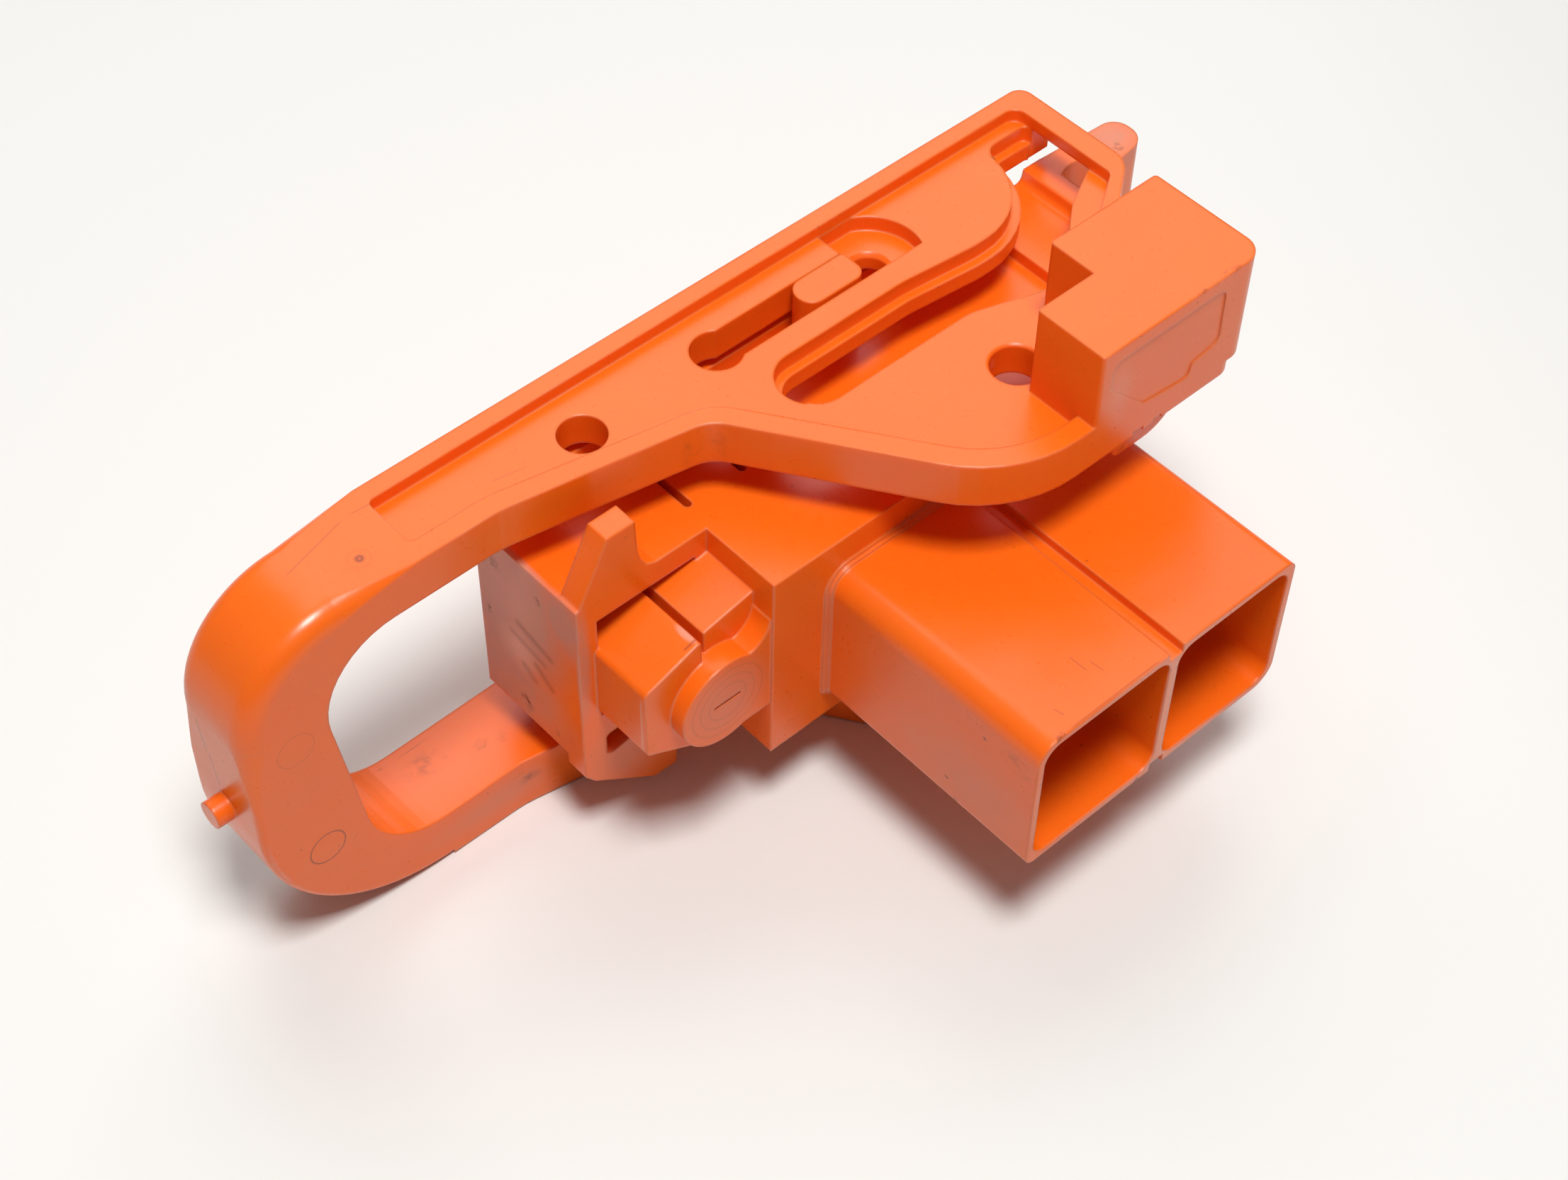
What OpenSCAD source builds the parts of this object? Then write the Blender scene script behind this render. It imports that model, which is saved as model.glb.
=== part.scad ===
// Pull-out fuse plug of a high-voltage battery, with its sliding lever
// X runs out along the contact shrouds, Y along the lever towards the far end, Z across both arms
// The shape is laid out from a datum at the back edge of the lever, on the surface it rests on
// The whole part is then moved so that its origin is below the middle of its box

/* [Lever] */

// Height over both arms
lever_h = 62; // [50:0.5:80]
// Width of the grip and of the narrow end of each arm
lever_w = 14.7; // [10:0.1:20]
// Thickness of each arm
arm_t = 7.2; // [5:0.1:9]
// Distance from the datum to the far end of the arms
arm_end_y = 80; // [70:0.5:100]
// Width of each arm across its wide plate
plate_w = 53.9; // [40:0.1:70]
// Depth of the recessed floor below the rim
floor_d = 2; // [1:0.1:3]
// Width of the rim along the back edge
rim_w = 2.7; // [2:0.1:4]
// Width of the rim along the front edge
rim_front = 3.1; // [2:0.1:4]
// Width of the rim across the far end
rim_end = 3.7; // [2:0.1:5]
// Start of the recessed floor, measured from the datum
floor_y = -38; // [-45:0.5:-30]

/* [Grip] */

// Outer end of the grip, at its upper corner
grip_y = -67.4; // [-80:0.5:-60]
// Thickness of the grip bar
grip_t = 12.4; // [10:0.5:20]
// Outer corner radius at the upper arm
grip_r_top = 16.5; // [12:0.5:24]
// Outer corner radius at the lower arm
grip_r_low = 28; // [15:0.5:32]
// Radius of the outer edges at the upper corner
grip_edge_top = 3; // [2:0.1:6]
// Radius of the outer edges at the lower corner
grip_edge_low = 1; // [0.5:0.1:3]
// Inside corner radius at the upper arm
grip_in_top = 11.5; // [6:0.5:16]
// Inside corner radius at the lower arm
grip_in_low = 12; // [6:0.5:16]
// Place along the lever where the rise is measured
in_low_y = -39.8; // [-45:0.1:-35]
// How far the inside of the lower arm rises towards the front face
lip_h = 1.9; // [0:0.1:4]
// End of that rise on the way to the housing
lip_end = -16; // [-30:0.5:-14]
// Length over which the rounded edges fade out along the arms
grip_fade = 14; // [10:1:30]
// Diameter of the peg on the end of the grip
peg_d = 4; // [3:0.1:6]
// How far the peg stands out beyond the grip
peg_len = 2.7; // [2:0.1:8]
// Height of the peg's axis
peg_z = 29.7; // [25:0.1:35]

/* [Guide slot] */

// Middle of the guide slot across the arm
slot_x = 9.95; // [8:0.05:12]
// Width of the guide slot
slot_w = 5.8; // [4:0.1:8]
// Middle of the round pocket at the near end of the slot
slot_y0 = 13.4; // [10:0.1:20]
// Middle of the round hole at the far end of the slot
slot_y1 = 41; // [35:0.1:45]
// Diameter of the round pocket
pocket_d = 7.4; // [6:0.1:9]
// Radius of the shallow arc round the far hole
arc_r = 7.8; // [6:0.1:9]
// Depth of that arc below the floor
arc_d = 2.5; // [1:0.1:4]
// Width of the guide boss on the housing
boss_w = 5; // [3:0.1:7]
// Length of the guide boss
boss_len = 10.5; // [8:0.1:14]
// Near end of the guide boss
boss_y = 28.1; // [25:0.1:32]

/* [Cam opening] */

// Width of the cam groove
cam_w = 10.2; // [8:0.1:12]
// Back edge of the cam groove
cam_x = 16.7; // [15:0.1:19]
// Middle of the closed round end of the groove
cam_y = 19.7; // [15:0.1:25]
// Width of the step along the tongue
ledge_w = 1.4; // [1:0.1:2]
// Depth of that step below the floor
ledge_d = 2.5; // [1:0.1:4]
// Radius of the free end of the tongue
tongue_r = 12.5; // [8:0.5:13]

/* [Holes in the arms] */

// Diameter of the hole in the narrow part
hole_a_d = 6.8; // [5:0.1:9]
// Place of that hole along the arm
hole_a_y = -9.5; // [-15:0.1:-5]
// Diameter of the hole in the plate
hole_b_d = 7.2; // [5:0.1:9]
// Place of that hole across the arm
hole_b_x = 37.8; // [30:0.1:45]
// Place of that hole along the arm
hole_b_y = 41.3; // [35:0.1:48]

/* [Connector block] */

// Height of the block above the lever
block_up = 12.5; // [6:0.5:18]
// Back face of the block
block_x = 34.5; // [30:0.1:40]
// Near face of the block
block_y = 39.1; // [35:0.1:45]
// Far face of the block
block_y1 = 69.2; // [60:0.1:75]
// Width of the notch in the block's near corner
notch_w = 7.7; // [5:0.1:10]
// Length of that notch
notch_len = 10.2; // [5:0.1:14]

/* [Housing] */

// Height of the housing, half of it on each side of the middle plane
body_h = 35.2; // [26:0.2:42]
// Back face of the housing
body_x = 4.1; // [3:0.1:6]
// Front face of the main box
body_x1 = 38.1; // [34:0.1:42]
// Near wall of the main box
body_y = -1.6; // [-4:0.1:2]
// Wall thickness
wall = 2; // [1.5:0.1:3]
// Near face of the end box
end_y = -23.6; // [-28:0.1:-20]
// Front face of the end plate
plate_x = 25; // [22:0.1:28]
// Thickness of the end plate and of its prongs
plate_t = 3.7; // [2:0.1:5]
// Step from the top of the lever down to the upper prong
prong_down = 3.2; // [1:0.1:8]

/* [Guide rails] */

// Back face of the guide rails, behind the housing
rail_x = 0.6; // [0.4:0.1:2]
// Near end of the guide rails
rail_y = -17; // [-19:0.1:-14]
// Far end of the guide rails
rail_y1 = 50; // [44:0.1:60]
// Room between a guide rail and the arm beside it
rail_low = 1.8; // [0.5:0.1:3]
// Step back of a guide rail from the side of the slot
rail_gap = 0.5; // [0:0.1:1]

/* [Shrouds] */

// Mouth of the shrouds
mouth_x = 76.8; // [60:0.1:90]
// Outer side of the near shroud
tube_y = 8.3; // [5:0.1:12]
// Outer side of the far shroud
tube_y1 = 56.5; // [50:0.1:60]
// Middle of the wall between the shrouds
tube_mid = 33.3; // [30:0.1:36]
// Height of the shrouds above the middle plane
tube_up = 12.1; // [9:0.1:15]
// Depth of the shrouds below the middle plane
tube_down = 12.9; // [9:0.1:15]
// Shroud wall
tube_wall = 1.1; // [0.8:0.1:2]
// Wall between the two shrouds
web_t = 1.5; // [1:0.1:3]
// Width of the groove between the shrouds
groove_w = 2.6; // [1:0.1:4]
// Depth of that groove
groove_d = 1.5; // [0.5:0.1:2]
// Larger outer corner radius of the shrouds
tube_r = 3.5; // [2:0.1:5]
// Smaller outer corner radius of the shrouds
tube_r_small = 1.8; // [1:0.1:3]

/* [Round boss] */

// Radius of the round boss
disc_r = 7.6; // [5:0.1:9]
// Middle of the boss along the lever
disc_y = -9.2; // [-12:0.1:-6]
// Front face of the boss
disc_x = 37.8; // [34:0.1:40]

/* [Far end] */

// Height of the raised pad above the housing top
pad_h = 2.1; // [1:0.1:5]
// Back face of the far end
pad_x = 6; // [4:0.1:8]
// Length of the raised pad beyond the box
pad_len = 10.6; // [6:0.1:16]
// Length of the whole block beyond the box
end_len = 14.4; // [12:0.1:20]
// Front face of the pad
pad_x1 = 28; // [20:0.5:36]
// Length of the lug
lug_len = 15; // [10:0.1:25]
// Width of the lug
lug_w = 6.8; // [6:0.1:12]
// Radius of the round notch in the lug
lug_notch = 6.3; // [4:0.1:8]

/* [Fuse] */

// Diameter of the fuse tube
fuse_d = 18; // [14:0.5:24]
// Length of the fuse over its caps
fuse_len = 38; // [30:0.5:46]
// Thickness of the blades and of the fuse feet
blade_t = 2; // [1:0.1:3]
// Width of the blades and of the fuse feet
blade_w = 14; // [8:0.5:18]
// How far the blade tips stay behind the mouth
blade_back = 27; // [10:0.5:30]
// Distance from each end of the fuse to its bolt
bolt_gap = 6.5; // [5.5:0.1:9]
// Diameter of the bolts
bolt_d = 5; // [4:0.5:6]

/* [Hidden] */

$fn = 48;

orange = [1.0, 0.42, 0.08];
grey = [0.30, 0.30, 0.32];
steel = [0.72, 0.73, 0.75];
copper = [0.80, 0.48, 0.32];
brass = [0.80, 0.66, 0.38];
cream = [0.93, 0.90, 0.82];
eps = 0.01;

mid_z = lever_h / 2;
body_top = (lever_h + body_h) / 2;
body_low = (lever_h - body_h) / 2;
lug_top = body_top + 2 * pad_h;
floor_z = lever_h - floor_d;
arm_low = lever_h - arm_t;
block_z = lever_h + block_up;
prong_z = lever_h - prong_down;
tube_top = mid_z + tube_up;
tube_low = mid_z - tube_down;
inner_y = grip_y + grip_t;

// The fuse sits in the middle of the housing, which is as long as the fuse and its feet ask
bolt_pitch = fuse_len + 2 * bolt_gap;
foot_tip = 4.4;
foot_room = 1.2;
body_y1 = body_y + bolt_pitch + 2 * (foot_tip + foot_room + wall);
fuse_y = (body_y + body_y1) / 2;
fuse_x = 19.6;
cap_t = 0.8;
cap_len = 7;
foot_x = 28.6;
blade_x = foot_x + blade_t;
bolt_y = [fuse_y - bolt_pitch / 2, fuse_y + bolt_pitch / 2];
// Each blade sits in the middle of its shroud
bore_y = [tube_y + tube_wall, tube_mid - web_t / 2, tube_mid + web_t / 2, tube_y1 - tube_wall];
blade_y = [(bore_y[0] + bore_y[1]) / 2, (bore_y[2] + bore_y[3]) / 2];
insert_r = 4;
insert_len = 3.4;
fit = 0.1;

// Depths of the lid from the back face
lid_x = body_x + 2.4;
lid_t = 2;
seal_t = 0.8;
lid_rim = 1;
screw_inset = 4.4;
screw_d = 2.8;
screw_head = 5.6;
screw_len = 9;
washer_t = 1.1;
head_t = 3.2;
bolt_head = 8.4;
hex_d = 4.6;
hex_deep = 2;
bolt_out = 3;
element_t = 0.4;
element_w = 6;
element_step = 7;
element_hole = 2;

pad_y1 = body_y1 + pad_len;
pad_y2 = body_y1 + end_len;
lug_y1 = pad_y2 + lug_len;
origin_x = mouth_x / 2;
origin_y = (grip_y - peg_len + lug_y1) / 2;

// Insert of the small connector, with two contacts that a bridge joins
holder_gap = 0.15;
holder_len = 6;
pin_pitch = 6;
pin_slot_w = 1;
pin_slot_h = 2;
pin_deep = 1.2;
pin_len = 13;

function unit(v) = v / norm(v);
function arc_points(o, r, a0, sweep, n) =
    [for (i = [0:n]) o + r * [cos(a0 + sweep * i / n), sin(a0 + sweep * i / n)]];
// One corner of an outline: b rounded with radius r between its neighbours a and c
function corner(a, b, c, r) =
    r <= 0 ? [b] :
    let (u = unit(a - b), w = unit(c - b))
    let (half = acos(u * w) / 2)
    let (o = b + unit(u + w) * r / sin(half))
    let (p = b + u * r / tan(half) - o, q = b + w * r / tan(half) - o)
    let (a0 = atan2(p.y, p.x))
    let (sweep = (atan2(q.y, q.x) - a0 + 540) % 360 - 180)
    arc_points(o, r, a0, sweep, max(2, ceil(abs(sweep) / 9)));
// An outline from points [x, y, corner radius]
function rounded(p) =
    let (n = len(p))
    [for (i = [0:n - 1])
        each corner([p[(i + n - 1) % n].x, p[(i + n - 1) % n].y], [p[i].x, p[i].y],
                    [p[(i + 1) % n].x, p[(i + 1) % n].y], p[i][2])];

// Moves the part from its datum to its origin
module place() {
    translate([-origin_x, -origin_y, 0])
        children();
}

// Turns an outline drawn in Y and Z into a plate along X
module plate_yz(x, t) {
    translate([x, 0, 0])
        rotate([90, 0, 90])
            linear_extrude(t)
                children();
}

// Repeats a shape on both sides of the middle plane
module both_sides() {
    children();
    translate([0, 0, lever_h])
        mirror([0, 0, 1])
            children();
}

module rod_x(x, y, z, r, len) {
    translate([x, y, z])
        rotate([0, 90, 0])
            cylinder(r = r, h = len);
}

// Outline of one arm, seen along Z, with its slanting front edge set back by b
front_slope = 0.678;
front_0 = -10.73;
neck_slope = 0.19;
neck_0 = 19.8;
function front_y(x, b) = front_0 + b + front_slope * x;
function neck_x(b) = (neck_0 + neck_slope * (front_0 + b)) / (1 - neck_slope * front_slope);
module arm_outline(b) {
    polygon(rounded([
        [0, floor_y - 0.5, 0],
        [0, arm_end_y, 2.2],
        [21, arm_end_y, 5],
        [block_x, 61.9, 0],
        [block_x, block_y1 - 1.8, 0],
        [plate_w, block_y1 - 1.8, 3.2],
        [plate_w, front_y(plate_w, b), 20],
        [neck_x(b), front_y(neck_x(b), b), 6],
        [lever_w, (lever_w - neck_0) / neck_slope, 18],
        [lever_w, floor_y - 0.5, 0]
    ]));
}

// Outline of the recessed floor
module floor_outline(b) {
    polygon(rounded([
        [rim_w, floor_y, 1],
        [rim_w, arm_end_y - rim_end, 2],
        [21.4, arm_end_y - rim_end, 1.5],
        [block_x, 56.2, 0],
        [plate_w - rim_front, 56.2, 0],
        [plate_w - rim_front, front_y(plate_w, b) + 2.1, 17],
        [neck_x(b) - 2.3, front_y(neck_x(b), b) + 2.1, 8],
        [lever_w - rim_front, -26.6, 18],
        [lever_w - rim_front, floor_y, 1]
    ]));
}

// Outline of the cam groove and the opening that it runs into, less a strip s along the tongue
module cam_outline(s) {
    polygon(rounded([
        [cam_x + s, cam_y, 0],
        [cam_x + s, 41, 15],
        [18 + s, 53, 12],
        [18 + s, 67.9 + s, tongue_r + s],
        [4.9 + s, 67.9 + s, 2.4 - s],
        [4.9 + s, arm_end_y - rim_end, 1.2],
        [17.4, arm_end_y - rim_end, 0.6],
        [20.9, 69.4, 5],
        [31, 57.4, 6],
        [30.2, 53.2, 8],
        [cam_x + cam_w, 43.4, 8],
        [cam_x + cam_w, cam_y, 0]
    ]));
    translate([cam_x + (cam_w + s) / 2, cam_y])
        circle(d = cam_w - s);
}

// One arm with its recessed floor, cam opening, guide slot and holes
module arm(with_ledge, b) {
    difference() {
        translate([0, 0, arm_low])
            linear_extrude(arm_t)
                arm_outline(b);
        translate([0, 0, floor_z])
            linear_extrude(floor_d + 1)
                floor_outline(b);
        translate([0, 0, arm_low - 1])
            linear_extrude(arm_t + 2)
                cam_outline(with_ledge ? ledge_w : 0);
        if (with_ledge)
            translate([0, 0, floor_z - ledge_d])
                linear_extrude(ledge_d + 1)
                    intersection() {
                        cam_outline(0);
                        square([cam_x + 0.8 * cam_w, 100]);
                    }
        // Below its rim the far end is open
        translate([4.9 + ledge_w, arm_end_y - rim_end - 0.5, arm_low - 1])
            cube([12.5 - ledge_w, rim_end + 2, floor_z - arm_low + 1]);
        translate([slot_x - slot_w / 2, slot_y0, arm_low - 1])
            cube([slot_w, slot_y1 - slot_y0, arm_t + 2]);
        translate([slot_x, slot_y1, arm_low - 1])
            cylinder(d = slot_w, h = arm_t + 2);
        translate([slot_x, slot_y0, arm_low - 1])
            cylinder(d = pocket_d, h = arm_t + 2);
        intersection() {
            translate([slot_x, slot_y1, floor_z - arc_d])
                cylinder(r = arc_r, h = arc_d + 1);
            translate([rim_w + 0.1, 38.2, floor_z - arc_d - 1])
                cube([slot_x + slot_w / 2 - rim_w - 0.1, 15, arc_d + 3]);
        }
        translate([slot_x, slot_y1, floor_z - arc_d - 0.6])
            cylinder(d1 = slot_w, d2 = slot_w + 1.4, h = 0.7);
        translate([slot_x, hole_a_y, arm_low - 1])
            cylinder(d = hole_a_d, h = arm_t + 2);
        translate([hole_b_x, hole_b_y, arm_low - 1])
            cylinder(d = hole_b_d, h = arm_t + 2);
        translate([hole_b_x, hole_b_y, floor_z - 0.3])
            cylinder(d1 = hole_b_d, d2 = hole_b_d + 0.8, h = 0.4);
    }
}

// Section of the handle: across its width, with both outer edges rounded
module grip_section(depth, e) {
    square([depth - e, lever_w]);
    translate([0, e])
        square([depth, lever_w - 2 * e]);
    translate([depth - e, e])
        circle(r = e);
    translate([depth - e, lever_w - e])
        circle(r = e);
}

// The wall of the finger opening leans in towards the lower corner
lean_in = 8;
function wall_y(z) = inner_y + (mid_z + 11.5 - z) * tan(lean_in);

// Opening for the fingers at the front face, in Y and Z, made smaller by s, up to the height top
module finger_opening(s, top) {
    low = arm_t + lip_h;
    polygon(rounded([
        [wall_y(top) + s, top, top == arm_low ? grip_in_top : 0],
        [wall_y(low) + s, low + s, grip_in_low],
        [5, low + s + 1.2, 0],
        [5, top, 0]
    ]));
}

function grip_edge(up) = up ? grip_edge_top : grip_edge_low;
function grip_r(up) = up ? grip_r_top : grip_r_low;
function corner_y(up) = grip_y + grip_r(up);
function corner_z(up) = up ? lever_h - grip_r_top : grip_r_low;
bar_len = corner_z(1) - corner_z(0);

module grip() {
    difference() {
        union() {
            // Upper and lower corner
            for (up = [0, 1])
                translate([0, corner_y(up), corner_z(up)])
                    rotate([90, 0, 90])
                        rotate([0, 0, up ? 90 : 180])
                            rotate_extrude(angle = 90)
                                grip_section(grip_r(up), grip_edge(up));
            // Bar between the corners
            translate([0, corner_y(1), corner_z(1)])
                difference() {
                    translate([0, 0, -bar_len])
                        linear_extrude(bar_len)
                            rotate(-90)
                                grip_section(grip_r_top, grip_edge_low);
                    bar_fade();
                }
            // Straight ends that run into the arms, and the inside of the upper corner
            for (up = [0, 1])
                translate([0, corner_y(up), up ? arm_low : 0])
                    cube([lever_w, floor_y - corner_y(up), arm_t]);
            translate([0, corner_y(1) - 1, arm_low - grip_in_top])
                cube([lever_w, inner_y + grip_in_top - corner_y(1) + 1, grip_in_top + 1]);
            translate([0, grip_y + 5, arm_low - grip_in_top - 2])
                cube([lever_w, inner_y + grip_in_top - grip_y - 5, 8]);
            // Raised inside of the lower arm
            translate([0, 0, arm_t - 1])
                linear_extrude(lip_h + 3)
                    polygon([
                        [0, inner_y],
                        [0, lip_end],
                        [neck_0 + neck_slope * lip_end, lip_end],
                        [lever_w, (lever_w - neck_0) / neck_slope],
                        [lever_w, inner_y]
                    ]);
        }
        plate_yz(-1, lever_w + 2)
            finger_opening(0, arm_low);
        // Towards the back the lower side of the opening gets deeper
        translate([lever_w, in_low_y, arm_t + lip_h])
            rotate([lean_in, 0, 0])
                rotate([0, -atan(lip_h / lever_w), 0])
                    rotate([-lean_in, 0, 0])
                        translate([0, -in_low_y, -arm_t - lip_h])
                            plate_yz(-lever_w - 3, lever_w + 7)
                                finger_opening(0.03, 30);
    }
    translate([lever_w / 2, grip_y + 4, peg_z])
        rotate([90, 0, 0])
            cylinder(d = peg_d, h = peg_len + 4);
}

// Rounds the outer edges of the bar, less and less towards the lower corner
module bar_fade() {
    e = grip_edge_top;
    tilt = atan(0.32 * e / bar_len);
    for (side = [0, 1])
        translate([side * lever_w, 0, 0])
            mirror([side, 0, 0])
                difference() {
                    translate([-1, -grip_r_top - 1, -bar_len])
                        cube([1 + e, 1 + e, bar_len]);
                    translate([e + 0.03, e + 0.03 - grip_r_top, 0])
                        rotate([-tilt, tilt, 0]) {
                            translate([0, 0, -bar_len - 2])
                                cylinder(r = e, h = bar_len + 4);
                            translate([0, -2 * e, -bar_len - 2])
                                cube([2 * e, 3 * e, bar_len + 4]);
                            translate([-2 * e, 0, -bar_len - 2])
                                cube([3 * e, 2 * e, bar_len + 4]);
                        }
                }
}

// Takes the sharp edge off both sides of the upper arm beside the grip, less and less towards the housing
module edge_fade() {
    e = grip_edge_top;
    tilt = atan(0.32 * e / grip_fade);
    for (side = [0, 1])
        translate([side * lever_w, corner_y(1), 0])
            mirror([side, 0, 0])
                difference() {
                    translate([-1, 0, lever_h - e])
                        cube([1 + e, grip_fade, e + 1]);
                    translate([e, 0, lever_h - e])
                        rotate([tilt, 0, tilt]) {
                            rotate([-90, 0, 0])
                                translate([0, 0, -2])
                                    cylinder(r = e, h = grip_fade + 4);
                            translate([0, -2, -2 * e])
                                cube([2 * e, grip_fade + 4, 3 * e]);
                            translate([-2 * e, -2, -2 * e])
                                cube([3 * e, grip_fade + 4, 2 * e]);
                        }
                }
}

// Outline of the connector block
module block_outline() {
    polygon(rounded([
        [block_x, block_y + notch_len, 0.4],
        [block_x, block_y1, 0.6],
        [plate_w, block_y1, 3.2],
        [plate_w, block_y, 0.4],
        [block_x + notch_w, block_y, 0.4],
        [block_x + notch_w, block_y + notch_len, 0]
    ]));
}

skirt_x = 41;
skirt_z = arm_low - 5;
low_back = 5;
conn_x0 = block_x + 2.6;
conn_x1 = plate_w - 2.6;
conn_y0 = block_y + notch_len + 2;
conn_z0 = floor_z + 1.6;
conn_z1 = block_z - 2.4;
pin_x = (conn_x0 + conn_x1) / 2;
pin_z = (conn_z0 + conn_z1) / 2;

module lever() {
    color(orange) {
        difference() {
            union() {
                arm(true, 0);
                translate([0, 0, floor_z - 3])
                    linear_extrude(block_z - floor_z + 3)
                        block_outline();
                // Rounded foot of the connector below the arm
                plate_yz(skirt_x, plate_w - 1.9 - skirt_x)
                    polygon(rounded([[46, arm_low + 1, 0], [46, skirt_z, 1.5], [58.6, skirt_z, 6.5], [58.6, arm_low + 1, 0]]));
                translate([0, 0, lever_h])
                    mirror([0, 0, 1])
                        arm(true, low_back);
                grip();
            }
            edge_fade();
            // The far face of the block leans in towards its foot
            translate([block_x - 5, block_y1, block_z])
                rotate([9.3, 0, 0])
                    translate([0, 0, -30])
                        cube([40, 12, 40]);
            // Shallow panel in the front face, and two gaps below it
            plate_yz(plate_w - 0.2, 1)
                polygon(rounded([[41.4, 67.4, 2], [48.5, 60.3, 2], [57.2, 59.2, 1], [57.6, 61.5, 1], [62.6, 62.2, 1.5],
                                 [62.3, 72, 1.5], [41.4, 72, 1.5]]));
            for (y = [47.6, 51.2])
                translate([plate_w - 1.9, y, arm_low - 1])
                    cube([3, 1.6, 1.6]);
            // Opening of the cam and the socket of the connector
            translate([0, 0, arm_low - 1])
                linear_extrude(arm_t + 2)
                    intersection() {
                        cam_outline(ledge_w);
                        square([block_x, 100]);
                    }
            translate([conn_x0, conn_y0, conn_z0])
                cube([conn_x1 - conn_x0, 40, conn_z1 - conn_z0]);
            translate([hole_b_x, hole_b_y, arm_low - 1])
                cylinder(d = hole_b_d, h = arm_t + 1);
        }
    }
}

// Profile of the end plate with its two prongs, in Y and Z
module foot_profile() {
    polygon([
        [end_y, mid_z],
        [end_y, body_low + 0.4],
        [-22, body_low - 1.8],
        [-11.6, 3.4],
        [-7.6, 3.2],
        [-7.2, body_low],
        [body_y + 1, body_low],
        [body_y + 1, mid_z]
    ]);
}

module prong_profile() {
    polygon([
        [end_y, mid_z],
        [end_y, body_top],
        [end_y + 0.7, body_top + 0.2],
        [-18, prong_z],
        [-13.4, prong_z],
        [-13.2, body_top + 4.7],
        [-12.7, body_top + 2.3],
        [-11.7, body_top + 0.7],
        [-10.1, body_top],
        [body_y + 1, body_top],
        [body_y + 1, mid_z]
    ]);
}

// Steps in front of the end plate, in Y and Z: a low one and a high one with a channel between
module low_step() {
    polygon(rounded([
        [-20.9, mid_z - 4.5, 1],
        [-20.9, mid_z + 8, 1],
        [-11.3, mid_z + 11.5, 0.4],
        [-11.3, mid_z - 10, 0.4]
    ]));
}

module high_step() {
    polygon([
        [-10.2, mid_z - 12],
        [-10.2, mid_z + 11.4],
        [body_y + 1, mid_z + 13.5],
        [body_y + 1, mid_z - 12]
    ]);
}

// Round boss and its neck, in Y and Z
module disc_outline() {
    translate([disc_y, mid_z])
        circle(r = disc_r);
    difference() {
        polygon([[disc_y, mid_z - 7], [body_y + 1, mid_z - 7], [body_y + 1, mid_z + 10.6],
                 [disc_y + 2.6, mid_z + 10.6], [disc_y, mid_z + 6]]);
        translate([disc_y + 2.8, mid_z + 11])
            circle(r = 4.6);
    }
}

module shroud_outline(grow) {
    difference() {
        polygon(rounded([
            [tube_y - grow, tube_low - grow, tube_r_small + grow],
            [tube_y - grow, tube_top + grow, tube_r + grow],
            [tube_y1 + grow, tube_top + grow, tube_r_small + grow],
            [tube_y1 + grow, tube_low - grow, tube_r + grow]
        ]));
        // Groove between the shrouds, above and below
        for (z = [tube_top, tube_low])
            translate([tube_mid, z])
                square([groove_w, 2 * groove_d], center = true);
    }
}

module shroud_bore(y0, y1) {
    polygon(rounded([
        [y0, tube_low + tube_wall, 2.7],
        [y0, tube_top - tube_wall, 2.7],
        [y1, tube_top - tube_wall, 2.7],
        [y1, tube_low + tube_wall, 2.7]
    ]));
}

module guide_boss() {
    translate([slot_x - slot_w / 2 + 0.1, 0, body_top - wall])
        linear_extrude(floor_z - body_top + wall)
            polygon(rounded([
                [0, boss_y, 2.4],
                [0, boss_y + boss_len, 0.5],
                [boss_w, boss_y + boss_len, 1.9],
                [boss_w, boss_y, 2.4]
            ]));
}

// Slit beside the snap finger in the top wall
module finger_slit(y) {
    translate([9, y - 0.6, body_top - wall - 1])
        cube([11, 1.2, wall + 2]);
    translate([20, y, body_top - wall - 1])
        cylinder(d = 1.2, h = wall + 2);
}

// Raised pad at the far end and the second step up to the lug
module pad_profile() {
    polygon(rounded([
        [body_y1 - wall, mid_z, 0],
        [body_y1 - wall, body_top, 0],
        [body_y1, body_top, 0],
        [body_y1, body_top + pad_h, 0],
        [pad_y1, body_top + pad_h, 1.2],
        [pad_y1 + 0.4, lug_top, 0.2],
        [pad_y2, lug_top, 0],
        [pad_y2, mid_z, 0]
    ]));
}

// Far lug, seen along Z
module lug_outline() {
    difference() {
        polygon(rounded([
            [pad_x, pad_y2 - 1, 0],
            [pad_x + 0.8, lug_y1, 2.8],
            [pad_x + lug_w, lug_y1, 3.2],
            [pad_x + lug_w + 2.5, pad_y2 - 1, 0]
        ]));
        translate([pad_x + lug_w + 3.3, pad_y2 + 3])
            circle(r = lug_notch);
    }
}

module screw_spots() {
    for (p = [[0, 0], [0, 1], [1, 0], [1, 1]])
        translate([0,
                   p.x ? body_y1 - wall - screw_inset : body_y + wall + screw_inset,
                   p.y ? body_top - wall - screw_inset : body_low + wall + screw_inset])
            children();
}

module cavity(x0, x1, grow) {
    translate([x0, body_y + wall - grow, body_low + wall - grow])
        cube([x1 - x0, body_y1 - body_y - 2 * wall + 2 * grow, body_top - body_low - 2 * wall + 2 * grow]);
}

// Rail beside the bosses, on which an arm of the lever runs
module guide_rail() {
    translate([rail_x, rail_y, body_top - 1])
        cube([slot_x - slot_w / 2 - rail_gap - rail_x, rail_y1 - rail_y, arm_low - rail_low - body_top + 1]);
}

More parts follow.
